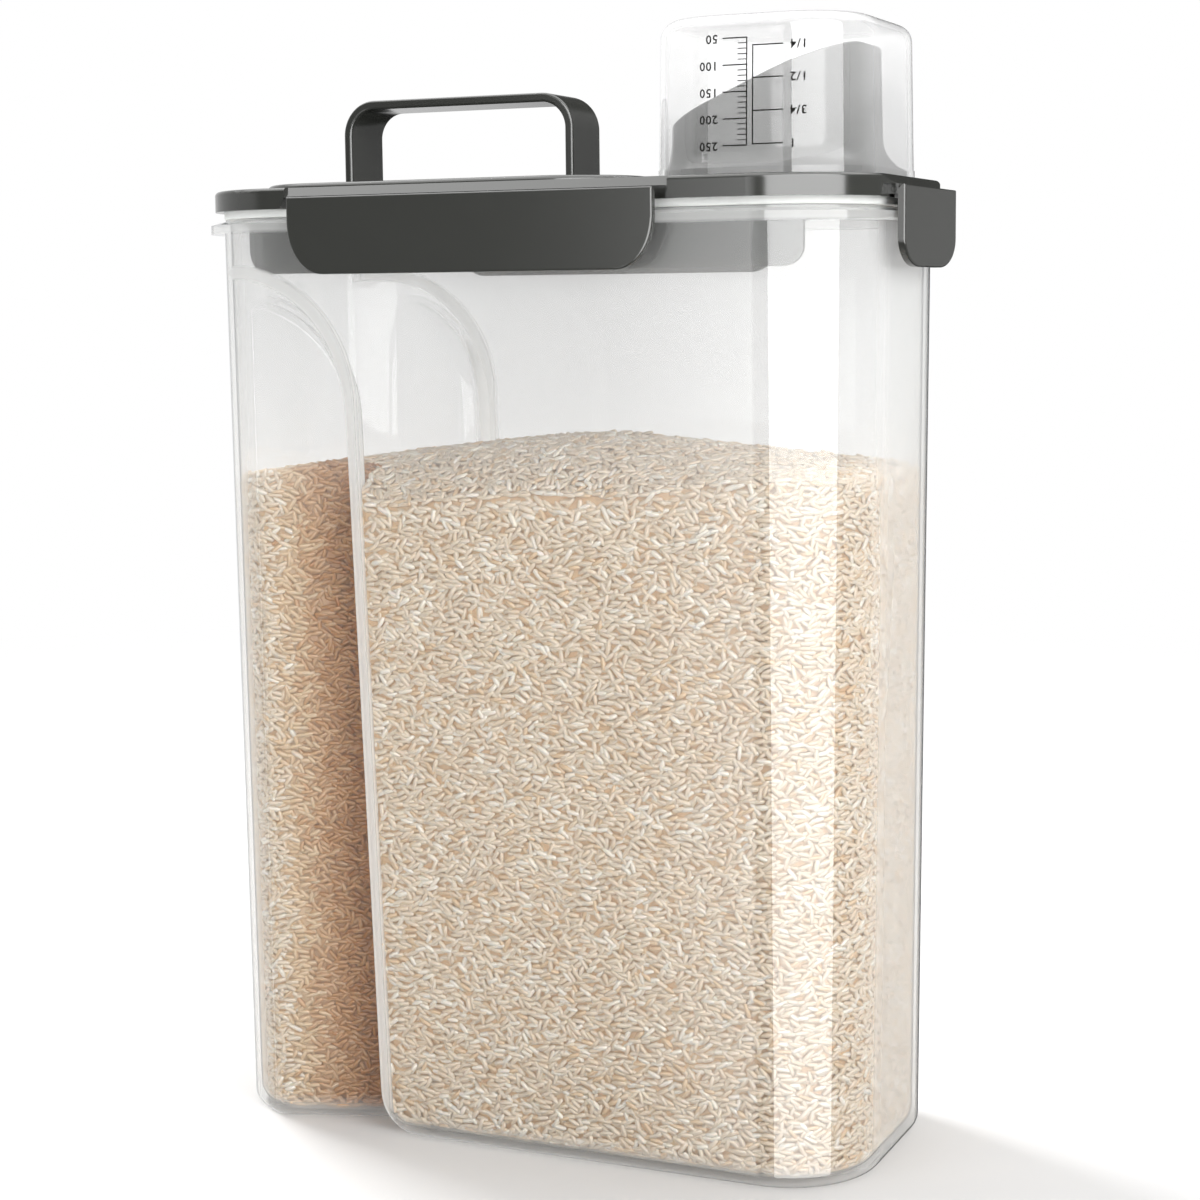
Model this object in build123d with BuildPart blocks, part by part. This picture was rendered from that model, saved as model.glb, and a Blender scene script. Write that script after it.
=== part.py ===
import os
from math import atan, cos, degrees, radians, sin, tan

from build123d import *

# Rice storage container with a latched lid, a pour spout and a measuring cup.
# Millimetres, Z up, origin in the middle of the base. The spout end is +X, the front is -Y.

# Lid and rim in plan
lid_length = 260.0
lid_depth = 121.0
lid_corner = 40.0

# Container
body_height = 328.0
body_inset = 3.2
draft_inset = 2.6
wall = 2.2
floor = 2.6
base_round = 5.0
flange_thickness = 4.2
flange_proud = 1.7
flange_slope = 3.2
flange_slope_height = 1.0
lip_height = 0.9
lip_inset = 3.6

# Grip recesses at the handle end
grip_angle = 19.0
grip_draft = 0.5
grip_depth = 18.0
grip_step = -56.0
grip_lean = 9.0
grip_below_rim = 22.0
grip_arch = 44.0
grip_round = 5.0
grip_edge = 3.0
grip_heel = 17.0

# Lid
skirt_gap = 3.8
lid_height = 7.4
lid_edge_round = 1.6
lid_plate = 2.2
rim_inset = 8.6
rib_inset = 6.7
rib_drop = 1.4
groove_inset = 3.1
groove_rise = 0.8
pad_length = 150.0
pad_depth = 92.0
pad_corner = 30.0
pad_height = 2.2
pad_center = -37.0
guide_left = -104.0
guide_right = 106.0
guide_drop = 22.6
guide_thickness = 1.6
guide_left_corner = 9.0
guide_right_corner = 6.5

# Latches
latch_length = 139.0
latch_center = -10.4
latch_corner_width = 13.5
latch_corner_height = 18.0
end_latch_length = 61.0
end_latch_corner_width = 18.0
end_latch_corner_height = 10.0
latch_drop = 19.3
latch_plate = 2.6
latch_edge = 0.7
latch_bevel = 1.7
latch_clear = 0.35
latch_top_clear = 0.4
arm_thickness = 2.0
arm_drop = 0.8
arm_back = 1.1
hook_reach = 2.6
hook_height = 2.0
hook_clear = 0.5
hook_margin = 9.0

# Latch hinges in the lid
notch_clear = 3.4
notch_flare = 2.2
notch_round = 2.0
notch_depth = 2.6
brow_inset = 3.0
end_notch_clear = 3.0
end_notch_flare = 1.2
hinge_inset = 0.6
hinge_drop = 5.0
knuckle_radius = 1.5
knuckle_clear = 0.3
knuckle_setback = 8.5
pin_radius = 0.9
pin_clear = 0.1
ear_length = 4.0
ear_skin = 0.6
ear_gap = 0.3

# Handle
handle_length = 93.0
handle_center = -39.8
handle_depth = 24.0
handle_rise = 30.8
handle_strap = 3.2
handle_round = 12.5
handle_edge = 0.9
tenon_depth = 18.0
tenon_clear = 0.15
barb_height = 1.8
barb_reach = 0.7
barb_clear = 0.2
barb_margin = 2.0

# Measuring cup
cup_length = 78.0
cup_depth = 87.0
cup_corner = 26.4
cup_height = 53.0
cup_wall = 1.8
cup_base = 2.0
cup_taper = 1.0
cup_center = 83.0
cup_round = 6.0
cup_rim_height = 3.0
cup_rim_proud = 0.3
cup_rest = 0.1
frame_length = 14.0
frame_height = 3.4
frame_line = 0.7
frame_proud = 0.35
frame_shift = -7.6
frame_rise = 6.2

# Pour spout
seat_clear = 0.55
seat_height = 3.0
flare_height = 11.0
flare_waist_height = 0.4
flare_waist = 0.72
spout_shift = -2.2
spout_inset_x = 4.0
spout_inset_y = 5.0
spout_taper = 0.8
spout_wall = 2.0
spout_nose = 28.0
spout_low = 17.2
spout_slope = 23.5

# Gasket
gasket_clear = 0.1
gasket_gap = 0.2
gasket_edge = 0.6

# Overlap of two shapes that are joined, and overshoot of a cutting tool
join = 0.5
overshoot = 10.0

# Levels
grip_top = body_height - grip_below_rim
flange_top = body_height + flange_thickness
lip_top = flange_top + lip_height
skirt_low = flange_top + skirt_gap
groove_top = skirt_low + groove_rise
lid_top = skirt_low + lid_height
plate_low = lid_top - lid_plate
pad_top = lid_top + pad_height
guide_low = skirt_low - guide_drop
hinge_z = lid_top - hinge_drop
ceiling_z = hinge_z + knuckle_radius + knuckle_clear
latch_top = ceiling_z - latch_top_clear
latch_low = flange_top - latch_drop
hook_top = body_height - hook_clear
cup_low = lid_top + cup_rest

# Hinge planes on the lid outline: local X runs along the latch, Y is up, Z points outwards
front_plane = Plane((latch_center, -lid_depth / 2, 0), x_dir=(1, 0, 0), z_dir=(0, -1, 0))
rear_plane = Plane((latch_center, lid_depth / 2, 0), x_dir=(-1, 0, 0), z_dir=(0, 1, 0))
end_plane = Plane((lid_length / 2, 0, 0), x_dir=(0, 1, 0), z_dir=(1, 0, 0))


# A rounded rectangle that lies a given distance inside the lid outline
def inside_lid(inset, mode=Mode.ADD):
    return RectangleRounded(
        lid_length - 2 * inset, lid_depth - 2 * inset, lid_corner - inset, mode=mode
    )


# Front outline of a grip recess, grown by a margin, drawn on the XZ plane
def grip_outline(grow):
    low_x = grip_step + grow
    spring_z = grip_top - grip_arch
    spring_x = low_x - grip_lean * spring_z / grip_top
    heel_x = low_x - grip_lean * grip_heel / grip_top
    top_z = grip_top + grow
    arch_x = spring_x - grip_arch
    left_x = -lid_length / 2 - 2 * overshoot
    with BuildLine() as outline:
        Line((left_x, -overshoot), (left_x, top_z))
        Line((left_x, top_z), (arch_x, top_z))
        EllipticalCenterArc((arch_x, spring_z), grip_arch, top_z - spring_z, start_angle=0, arc_size=90)
        Line((spring_x, spring_z), (heel_x, grip_heel))
        Spline(
            [
                (heel_x, grip_heel),
                (low_x + grip_heel * 0.25, grip_heel * 0.3),
                (low_x + grip_heel, 0),
            ],
            tangents=[(0.03, -1), (1, -0.12)],
        )
        Line((low_x + grip_heel, 0), (low_x + grip_heel, -overshoot))
        Line((low_x + grip_heel, -overshoot), (left_x, -overshoot))
    return outline.line


# Plane of the sloping grip face, moved inwards by a margin
def grip_plane(grow):
    lean = radians(grip_angle)
    face_y = -(lid_depth / 2 - body_inset - draft_inset - grip_depth)
    outward = Vector(sin(lean), -cos(lean), -tan(radians(grip_draft)))
    return Plane(origin=Vector(grip_step, face_y, 0) - outward * grow, z_dir=outward)


# Drafted, arched tool that cuts one grip recess, grown by a margin
def grip_recess(grow):
    with BuildPart() as recess:
        with BuildSketch(Plane.XZ):
            add(grip_outline(grow))
            make_face()
        extrude(amount=lid_depth)
        split(bisect_by=grip_plane(grow), keep=Keep.TOP)
        inner_edges = recess.faces().sort_by(Axis.Y)[-1].edges()
        arch_edges = inner_edges.filter_by(
            lambda edge: edge.center().Z > 2 * grip_heel and edge.center().X > -lid_length / 2 - overshoot
        )
        fillet(arch_edges, grip_round + grow)
    return recess.part


# Clearance in the lid for one latch and its hinge, with a sloping brow above it for the open latch
def latch_notch(plane, length, clear, flare):
    half = length / 2 + clear
    low = skirt_low - overshoot / 10
    along = Plane(plane.origin, x_dir=plane.z_dir, z_dir=plane.x_dir)
    with BuildPart() as notch:
        with BuildSketch(plane.offset(-notch_depth)) as face:
            with BuildLine():
                Polyline(
                    (-half - flare, low),
                    (-half, ceiling_z),
                    (half, ceiling_z),
                    (half + flare, low),
                    close=True,
                )
            make_face()
            fillet(face.vertices().group_by(Axis.Y)[-1], notch_round)
        extrude(amount=notch_depth + overshoot)
        with BuildSketch(along.offset(-half)):
            with BuildLine():
                Polyline(
                    (0, -ceiling_z),
                    (-brow_inset, -lid_top),
                    (-brow_inset, -lid_top - join),
                    (overshoot, -lid_top - join),
                    (overshoot, -ceiling_z),
                    close=True,
                )
            make_face()
        extrude(amount=2 * half)
    return notch.part


# The two bored ears in the lid that carry the pins of one latch
def latch_ears(plane, length):
    near = length / 2 - knuckle_setback + ear_gap
    front = pin_radius + pin_clear + ear_skin - hinge_inset
    low = hinge_z - pin_radius - pin_clear - ear_skin
    middle = near + ear_length / 2
    along = Plane(plane.origin, x_dir=plane.z_dir, z_dir=plane.x_dir)
    with BuildPart() as ears:
        with BuildSketch(plane.offset(-notch_depth - join)):
            with Locations((middle, (low + ceiling_z) / 2), (-middle, (low + ceiling_z) / 2)):
                Rectangle(ear_length, ceiling_z - low)
        extrude(amount=notch_depth + join + front)
        with BuildSketch(along.offset(-near - 2 * ear_length)):
            with Locations((-hinge_inset, -hinge_z)):
                Circle(pin_radius + pin_clear)
        extrude(amount=2 * near + 4 * ear_length, mode=Mode.SUBTRACT)
    return ears.part


# Outline of a latch plate with elliptical lower corners
def latch_outline(length, corner_width, corner_height):
    half = length / 2
    flat = half - corner_width
    bend = latch_low + corner_height
    with BuildLine() as outline:
        Line((-half, bend), (-half, latch_top))
        Line((-half, latch_top), (half, latch_top))
        Line((half, latch_top), (half, bend))
        EllipticalCenterArc((flat, bend), corner_width, corner_height, start_angle=270, arc_size=90)
        Line((flat, latch_low), (-flat, latch_low))
        EllipticalCenterArc((-flat, bend), corner_width, corner_height, start_angle=180, arc_size=90)
    return outline.line


# One latch: plate, arm, knuckle with its two pins, and the hook that catches the flange
def latch(plane, length, corner_width, corner_height):
    plate_in = flange_proud + latch_clear
    knuckle = length - 2 * knuckle_setback
    arm_top = hinge_z - arm_drop
    along = Plane(plane.origin, x_dir=plane.z_dir, z_dir=plane.x_dir)
    with BuildPart() as piece:
        with BuildSketch(plane.offset(plate_in)):
            add(latch_outline(length, corner_width, corner_height))
            make_face()
        extrude(amount=latch_plate)
        outward = Axis(plane.origin, plane.z_dir)
        fillet(piece.faces().sort_by(outward)[-1].edges(), latch_edge)
        chamfer(piece.faces().sort_by(outward)[0].edges().sort_by(Axis.Z)[-1], latch_bevel)
        with BuildSketch(plane.offset(-hinge_inset - arm_back)):
            with Locations((0, arm_top - arm_thickness / 2)):
                Rectangle(knuckle, arm_thickness)
        extrude(amount=hinge_inset + arm_back + plate_in + join)
        with BuildSketch(along.offset(-knuckle / 2)):
            with Locations((-hinge_inset, -hinge_z)):
                Circle(knuckle_radius)
        extrude(amount=knuckle)
        with BuildSketch(along.offset(-knuckle / 2 - ear_gap - ear_length)):
            with Locations((-hinge_inset, -hinge_z)):
                Circle(pin_radius)
        extrude(amount=knuckle + 2 * ear_gap + 2 * ear_length)
        with BuildSketch(plane.offset(plate_in - hook_reach)):
            with Locations((0, hook_top - hook_height / 2)):
                Rectangle(length - 2 * hook_margin, hook_height)
        extrude(amount=hook_reach + join)
    return piece.part


# Section of the spout: a rectangle with one corner radius at its heel and one at its nose
def spout_section(center, length, depth, heel_corner, nose_corner):
    with BuildSketch() as section:
        with Locations((center, 0)):
            Rectangle(length, depth)
        fillet(section.vertices().group_by(Axis.X)[0], heel_corner)
        fillet(section.vertices().group_by(Axis.X)[-1], nose_corner)
    return section.sketch


grip_outside = grip_recess(0.0)
grip_inside = grip_recess(wall)
draft = degrees(atan(draft_inset / body_height))

# Inside of the container
with BuildPart() as cavity:
    with BuildSketch(Plane.XY.offset(floor)):
        inside_lid(body_inset + draft_inset * (1 - floor / body_height) + wall)
    extrude(amount=lip_top - floor + overshoot, taper=-draft)
    fillet(cavity.faces().sort_by(Axis.Z)[0].edges(), base_round)
    add(grip_inside, mode=Mode.SUBTRACT)
    mirror(grip_inside, about=Plane.XZ, mode=Mode.SUBTRACT)

# Container
with BuildPart() as container:
    with BuildSketch():
        inside_lid(body_inset + draft_inset)
    extrude(amount=body_height, taper=-draft)
    fillet(container.faces().sort_by(Axis.Z)[0].edges(), base_round)
    add(grip_outside, mode=Mode.SUBTRACT)
    front_cut = container.edges(Select.LAST).filter_by(GeomType.LINE)
    fillet(front_cut.filter_by(lambda edge: edge.length > grip_top / 2).sort_by(Axis.Y)[0], grip_edge)
    mirror(grip_outside, about=Plane.XZ, mode=Mode.SUBTRACT)
    rear_cut = container.edges(Select.LAST).filter_by(GeomType.LINE)
    fillet(rear_cut.filter_by(lambda edge: edge.length > grip_top / 2).sort_by(Axis.Y)[-1], grip_edge)
    with BuildSketch(Plane.XY.offset(body_height)):
        inside_lid(-flange_proud)
    extrude(amount=flange_thickness - flange_slope_height)
    with BuildSketch(Plane.XY.offset(flange_top - flange_slope_height)):
        inside_lid(-flange_proud)
    extrude(amount=flange_slope_height, taper=degrees(atan(flange_slope / flange_slope_height)))
    with BuildSketch(Plane.XY.offset(flange_top - join)):
        inside_lid(lip_inset)
    extrude(amount=lip_height + join)
    add(cavity.part, mode=Mode.SUBTRACT)
container.part.label = "container"

# Pour spout, moulded on the lid: a seat for the cup, a flare and a tube with a slanted rim
seat_length = cup_length - 2 * cup_wall - 2 * seat_clear
seat_depth = cup_depth - 2 * cup_wall - 2 * seat_clear
seat_corner = cup_corner - cup_wall - seat_clear
tube_length = seat_length - 2 * spout_inset_x
tube_depth = seat_depth - 2 * spout_inset_y
tube_corner = seat_corner - (spout_inset_x + spout_inset_y) / 2
tube_center = cup_center + spout_shift
seat_top = lid_top + seat_height
tube_low = seat_top + flare_height
tube_rise = cup_height - seat_height - flare_height
bore_inset = spout_taper + spout_wall
spout_seat = spout_section(cup_center, seat_length, seat_depth, seat_corner, seat_corner)
spout_waist = spout_section(
    cup_center + spout_shift * flare_waist,
    seat_length - 2 * flare_waist * spout_inset_x,
    seat_depth - 2 * flare_waist * spout_inset_y,
    seat_corner + (tube_corner - seat_corner) * flare_waist,
    seat_corner + (spout_nose - seat_corner) * flare_waist,
)
spout_tube = spout_section(tube_center, tube_length, tube_depth, tube_corner, spout_nose)
spout_bore = spout_section(
    tube_center,
    tube_length - 2 * bore_inset,
    tube_depth - 2 * bore_inset,
    tube_corner - bore_inset,
    spout_nose - bore_inset,
)
with BuildPart() as spout:
    with BuildSketch(Plane.XY.offset(lid_top - join)):
        add(spout_seat)
    extrude(amount=seat_height + join)
    with BuildSketch(Plane.XY.offset(seat_top)):
        add(spout_seat)
    with BuildSketch(Plane.XY.offset(seat_top + flare_height * flare_waist_height)):
        add(spout_waist)
    with BuildSketch(Plane.XY.offset(tube_low)):
        add(spout_tube)
    loft()
    with BuildSketch(Plane.XY.offset(tube_low)):
        add(spout_tube)
    extrude(amount=tube_rise, taper=degrees(atan(spout_taper / tube_rise)))
    with BuildSketch(Plane.XY.offset(lid_top - join)):
        add(spout_bore)
    extrude(amount=cup_height + overshoot, mode=Mode.SUBTRACT)
    slant = radians(spout_slope)
    rim_plane = Plane(
        origin=(tube_center - tube_length / 2, 0, lid_top + spout_low),
        x_dir=(cos(slant), 0, sin(slant)),
        z_dir=(-sin(slant), 0, cos(slant)),
    )
    split(bisect_by=rim_plane, keep=Keep.BOTTOM)
    fillet(spout.faces().filter_by(rim_plane).sort_by(Axis.Z)[-1].edges(), spout_wall * 0.35)

# Locating guide under the lid along the front, following the rim's curve
guide_top = groove_top + join
with BuildPart() as guide:
    with BuildSketch(Plane.XY.offset(guide_low)):
        inside_lid(rib_inset)
        inside_lid(rib_inset + guide_thickness, mode=Mode.SUBTRACT)
    extrude(amount=guide_top - guide_low)
    with BuildSketch(Plane.XZ) as guide_face:
        with Locations(((guide_left + guide_right) / 2, (guide_low + guide_top) / 2)):
            Rectangle(guide_right - guide_left, guide_top - guide_low)
        fillet(guide_face.vertices().group_by(Axis.Y)[0].sort_by(Axis.X)[-1], guide_right_corner)
        fillet(guide_face.vertices().group_by(Axis.Y)[0].sort_by(Axis.X)[0], guide_left_corner)
    extrude(amount=lid_depth, mode=Mode.INTERSECT)

# Lid
front_notch = latch_notch(front_plane, latch_length, notch_clear, notch_flare)
end_notch = latch_notch(end_plane, end_latch_length, end_notch_clear, end_notch_flare)
front_ears = latch_ears(front_plane, latch_length)
end_ears = latch_ears(end_plane, end_latch_length)
left_leg = handle_center - handle_length / 2 + handle_strap / 2
right_leg = handle_center + handle_length / 2 - handle_strap / 2
with BuildPart() as lid:
    with BuildSketch(Plane.XY.offset(skirt_low)):
        inside_lid(0.0)
    extrude(amount=lid_height)
    fillet(lid.faces().sort_by(Axis.Z)[-1].edges(), lid_edge_round)
    with BuildSketch(Plane.XY.offset(lid_top - join)):
        with Locations((pad_center, 0)):
            RectangleRounded(pad_length, pad_depth, pad_corner)
    extrude(amount=pad_height + join)
    fillet(lid.faces().sort_by(Axis.Z)[-1].edges(), pad_height * 0.9)
    with BuildSketch(Plane.XY.offset(skirt_low)):
        inside_lid(groove_inset)
    extrude(amount=groove_rise, mode=Mode.SUBTRACT)
    with BuildSketch(Plane.XY.offset(groove_top)):
        inside_lid(rim_inset)
    extrude(amount=plate_low - groove_top, mode=Mode.SUBTRACT)
    with BuildSketch(Plane.XY.offset(lip_top - rib_drop)):
        inside_lid(rib_inset)
        inside_lid(rim_inset, mode=Mode.SUBTRACT)
    extrude(amount=groove_top + join - lip_top + rib_drop)
    add(guide.part)
    add(front_notch, mode=Mode.SUBTRACT)
    mirror(front_notch, about=Plane.XZ, mode=Mode.SUBTRACT)
    add(end_notch, mode=Mode.SUBTRACT)
    add(front_ears)
    mirror(front_ears, about=Plane.XZ)
    add(end_ears)
    add(spout.part)
    with BuildSketch(Plane.XY.offset(plate_low - join)):
        add(spout_bore)
    extrude(amount=lid_plate + 2 * join, mode=Mode.SUBTRACT)
    with BuildSketch(Plane.XY.offset(plate_low - join)):
        with Locations((left_leg, 0), (right_leg, 0)):
            Rectangle(handle_strap + 2 * tenon_clear, tenon_depth + 2 * tenon_clear)
    extrude(amount=pad_top - plate_low + 2 * join, mode=Mode.SUBTRACT)
lid.part.label = "lid"

# Gasket
with BuildPart() as lid_gasket:
    with BuildSketch(Plane.XY.offset(lip_top + gasket_gap)):
        inside_lid(groove_inset + gasket_clear)
        inside_lid(rib_inset - gasket_clear, mode=Mode.SUBTRACT)
    extrude(amount=groove_top - lip_top - gasket_gap)
    fillet(lid_gasket.faces().sort_by(Axis.Z)[0].edges(), gasket_edge)
lid_gasket.part.label = "lid_gasket"

# Handle: a bent strap with two barbed tenons that snap through the lid
window_rise = handle_rise - handle_strap
with BuildPart() as handle:
    with BuildSketch(Plane.XZ) as strap_face:
        with Locations((handle_center, pad_top + handle_rise / 2)):
            Rectangle(handle_length, handle_rise)
        fillet(strap_face.vertices().group_by(Axis.Y)[-1], handle_round)
    extrude(amount=handle_depth / 2, both=True)
    with BuildSketch(Plane.XZ) as window:
        with Locations((handle_center, pad_top + window_rise / 2)):
            Rectangle(handle_length - 2 * handle_strap, window_rise)
        fillet(window.vertices().group_by(Axis.Y)[-1], handle_round - handle_strap)
    extrude(amount=handle_depth / 2, both=True, mode=Mode.SUBTRACT)
    for side in (0, -1):
        side_edges = handle.faces().sort_by(Axis.Y)[side].edges()
        fillet(side_edges.filter_by_position(Axis.Z, pad_top + join, lid_top * 2), handle_edge)
    with BuildSketch(Plane.XY.offset(pad_top)):
        with Locations((left_leg, 0), (right_leg, 0)):
            Rectangle(handle_strap, tenon_depth)
    extrude(amount=plate_low - barb_clear - barb_height - pad_top)
    with BuildSketch(Plane.XY.offset(plate_low - barb_clear)):
        with Locations((left_leg - barb_reach, 0), (right_leg + barb_reach, 0)):
            Rectangle(handle_strap, tenon_depth - 2 * barb_margin)
    extrude(amount=-barb_height)
handle.part.label = "handle"

# Latches
front_latch = latch(front_plane, latch_length, latch_corner_width, latch_corner_height)
front_latch.label = "front_latch"
rear_latch = latch(rear_plane, latch_length, latch_corner_width, latch_corner_height)
rear_latch.label = "rear_latch"
end_latch = latch(end_plane, end_latch_length, end_latch_corner_width, end_latch_corner_height)
end_latch.label = "end_latch"

# Measuring cup, upside down over the spout
cup_lean = degrees(atan(cup_taper / cup_height))
with BuildPart() as cup_inside:
    with BuildSketch(Plane.XY.offset(cup_low)):
        with Locations((cup_center, 0)):
            RectangleRounded(cup_length - 2 * cup_wall, cup_depth - 2 * cup_wall, cup_corner - cup_wall)
    extrude(amount=cup_height - cup_base, taper=cup_lean)
    fillet(cup_inside.faces().sort_by(Axis.Z)[-1].edges(), cup_round - cup_wall)
with BuildPart() as measuring_cup:
    with BuildSketch(Plane.XY.offset(cup_low)):
        with Locations((cup_center, 0)):
            RectangleRounded(cup_length, cup_depth, cup_corner)
    extrude(amount=cup_height, taper=cup_lean)
    fillet(measuring_cup.faces().sort_by(Axis.Z)[-1].edges(), cup_round)
    with BuildSketch(Plane.XY.offset(cup_low)):
        with Locations((cup_center, 0)):
            RectangleRounded(
                cup_length + 2 * cup_rim_proud, cup_depth + 2 * cup_rim_proud, cup_corner + cup_rim_proud
            )
    extrude(amount=cup_rim_height)
    with BuildSketch(Plane.XZ.offset(cup_depth / 2 - cup_wall / 2)):
        with Locations((cup_center + frame_shift, cup_low + frame_rise)):
            Rectangle(frame_length, frame_height)
            Rectangle(frame_length - 2 * frame_line, frame_height - 2 * frame_line, mode=Mode.SUBTRACT)
    extrude(amount=cup_wall / 2 + frame_proud)
    add(cup_inside.part, mode=Mode.SUBTRACT)
measuring_cup.part.label = "measuring_cup"


if __name__ == "__main__":
    os.makedirs("parts", exist_ok=True)
    pieces = (
        container.part,
        lid.part,
        lid_gasket.part,
        handle.part,
        front_latch,
        rear_latch,
        end_latch,
        measuring_cup.part,
    )
    for piece in pieces:
        export_step(piece, "parts/" + piece.label + ".step")
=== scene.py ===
import math

import bpy
import numpy as np
from mathutils import Matrix, Vector
from mathutils.bvhtree import BVHTree


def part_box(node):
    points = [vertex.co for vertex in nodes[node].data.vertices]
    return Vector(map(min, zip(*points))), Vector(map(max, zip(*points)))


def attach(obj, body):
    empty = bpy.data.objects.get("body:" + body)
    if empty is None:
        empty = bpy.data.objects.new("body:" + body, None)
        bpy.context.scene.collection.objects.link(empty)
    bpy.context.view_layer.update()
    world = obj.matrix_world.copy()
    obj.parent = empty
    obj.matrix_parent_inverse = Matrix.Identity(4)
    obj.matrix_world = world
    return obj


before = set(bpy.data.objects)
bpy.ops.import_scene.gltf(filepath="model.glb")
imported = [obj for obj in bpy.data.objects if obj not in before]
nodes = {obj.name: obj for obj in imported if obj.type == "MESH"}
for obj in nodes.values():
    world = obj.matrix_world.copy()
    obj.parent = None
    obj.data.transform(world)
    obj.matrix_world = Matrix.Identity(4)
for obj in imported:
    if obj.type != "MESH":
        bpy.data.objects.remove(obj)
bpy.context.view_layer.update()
mm = 0.001  # all sizes below are millimetres times this
print("frame loaded:", ", ".join(sorted(nodes)))


# Small helpers: colours, shader nodes and selection

def linearColor(hexText):
    channels = [int(hexText[i:i + 2], 16) / 255 for i in (0, 2, 4)]
    return [c / 12.92 if c <= 0.04045 else ((c + 0.055) / 1.055) ** 2.4 for c in channels] + [1.0]


def addNode(tree, kind, values=None, links=None, **settings):
    made = tree.nodes.new(kind)
    for key, value in settings.items():
        setattr(made, key, value)
    for key, value in (values or {}).items():
        made.inputs[key].default_value = value
    for key, source in (links or {}).items():
        tree.links.new(source, made.inputs[key])
    return made


# Each part of the sum is a plain number or another node's output
def addMath(tree, operation, *parts):
    made = addNode(tree, "ShaderNodeMath", operation=operation)
    for socket, part in zip(made.inputs, parts):
        if isinstance(part, float):
            socket.default_value = part
        else:
            tree.links.new(part, socket)
    return made.outputs["Value"]


# Goes from low to high while the value crosses the span
def addRamp(tree, value, span, low=0.0, high=1.0, kind="SMOOTHSTEP"):
    return addNode(tree, "ShaderNodeMapRange", {
        "From Min": span[0], "From Max": span[1], "To Min": low, "To Max": high},
        {"Value": value}, interpolation_type=kind).outputs["Result"]


def addNoise(tree, place, sizeMm, detail=2.0):
    return addNode(tree, "ShaderNodeTexNoise", {"Scale": 1 / (sizeMm * mm), "Detail": detail},
                   {"Vector": place}).outputs["Fac"]


def mixColors(tree, share, first, second):
    return addNode(tree, "ShaderNodeMixRGB", {"Color1": linearColor(first), "Color2": linearColor(second)},
                   {"Fac": share}).outputs["Color"]


def mixShaders(tree, share, first, second):
    mixed = addNode(tree, "ShaderNodeMixShader", links={1: first, 2: second})
    if isinstance(share, float):
        mixed.inputs["Fac"].default_value = share
    else:
        tree.links.new(share, mixed.inputs["Fac"])
    return mixed.outputs["Shader"]


def newMaterial(name):
    material = bpy.data.materials.new(name)
    material.use_nodes = True
    material.node_tree.nodes.clear()
    return material, material.node_tree


def deselectAll():
    if bpy.context.object and bpy.context.object.mode != "OBJECT":
        bpy.ops.object.mode_set(mode="OBJECT")
    bpy.ops.object.select_all(action="DESELECT")


def activate(piece):
    deselectAll()
    piece.select_set(True)
    bpy.context.view_layer.objects.active = piece


def dress(nodeName, material):
    slots = nodes[nodeName].data.materials
    slots.clear()
    slots.append(material)


# Materials

# Moulded polypropylene with a satin skin: dark warm grey, soft highlights, a very fine pebble
def satinGreyPlastic():
    look = {"tone": "2b2c29", "paler": "30312e", "cloudMm": 45.0, "roughness": 0.15, "ior": 1.58,
            "pebbleMm": 0.5, "pebbleDetail": 1.0, "pebbleStrength": 0.02, "pebbleHigh": 0.04 * mm}
    material, tree = newMaterial("satinGreyPolypropylene")
    place = addNode(tree, "ShaderNodeTexCoord").outputs["Object"]
    tone = mixColors(tree, addNoise(tree, place, look["cloudMm"]), look["tone"], look["paler"])
    bump = addNode(tree, "ShaderNodeBump", {"Strength": look["pebbleStrength"], "Distance": look["pebbleHigh"]},
                   {"Height": addNoise(tree, place, look["pebbleMm"], look["pebbleDetail"])})
    skin = addNode(tree, "ShaderNodeBsdfPrincipled", {"Roughness": look["roughness"], "IOR": look["ior"]},
                   {"Base Color": tone, "Normal": bump.outputs["Normal"]})
    addNode(tree, "ShaderNodeOutputMaterial", links={"Surface": skin.outputs["BSDF"]})
    return material


# A milky band along the moulded edge of a grip recess: up the leaning step and round its arch
def gripEdge(tree, x, y, z, look):
    upright = addMath(tree, "MULTIPLY_ADD", z, look["gripLean"], look["gripReach"])
    across = addMath(tree, "ADD", x, upright)
    above = addMath(tree, "MAXIMUM", addMath(tree, "SUBTRACT", z, look["gripSpring"]), 0.0)
    square = addMath(tree, "ADD", addMath(tree, "MULTIPLY", across, across), addMath(tree, "MULTIPLY", above, above))
    away = addMath(tree, "SQRT", square)
    band = addMath(tree, "MULTIPLY", addRamp(tree, away, look["gripBandFrom"]),
                   addRamp(tree, away, look["gripBandTo"], look["gripVeil"], 0.0))
    return addMath(tree, "MULTIPLY", band, addRamp(tree, addMath(tree, "ABSOLUTE", y), look["gripOuter"]))


# The container's own veil: thinner low down, thicker at the rim, at the foot and along the grip recesses
def containerVeil(tree, veil, look):
    place = addNode(tree, "ShaderNodeTexCoord")
    split = addNode(tree, "ShaderNodeSeparateXYZ", links={"Vector": place.outputs["Object"]})
    x, y, z = (split.outputs[axis] for axis in "XYZ")
    tree.links.new(addRamp(tree, z, look["haze"], look["lowVeil"], look["veil"]), veil.inputs["To Min"])
    thick = veil.outputs["Result"]
    for more in (addRamp(tree, z, look["rim"], 0.0, look["rimVeil"], "LINEAR"),
                 addRamp(tree, z, look["foot"], look["footVeil"], 0.0), gripEdge(tree, x, y, z, look)):
        thick = addMath(tree, "MAXIMUM", thick, more)
    return thick


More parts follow.
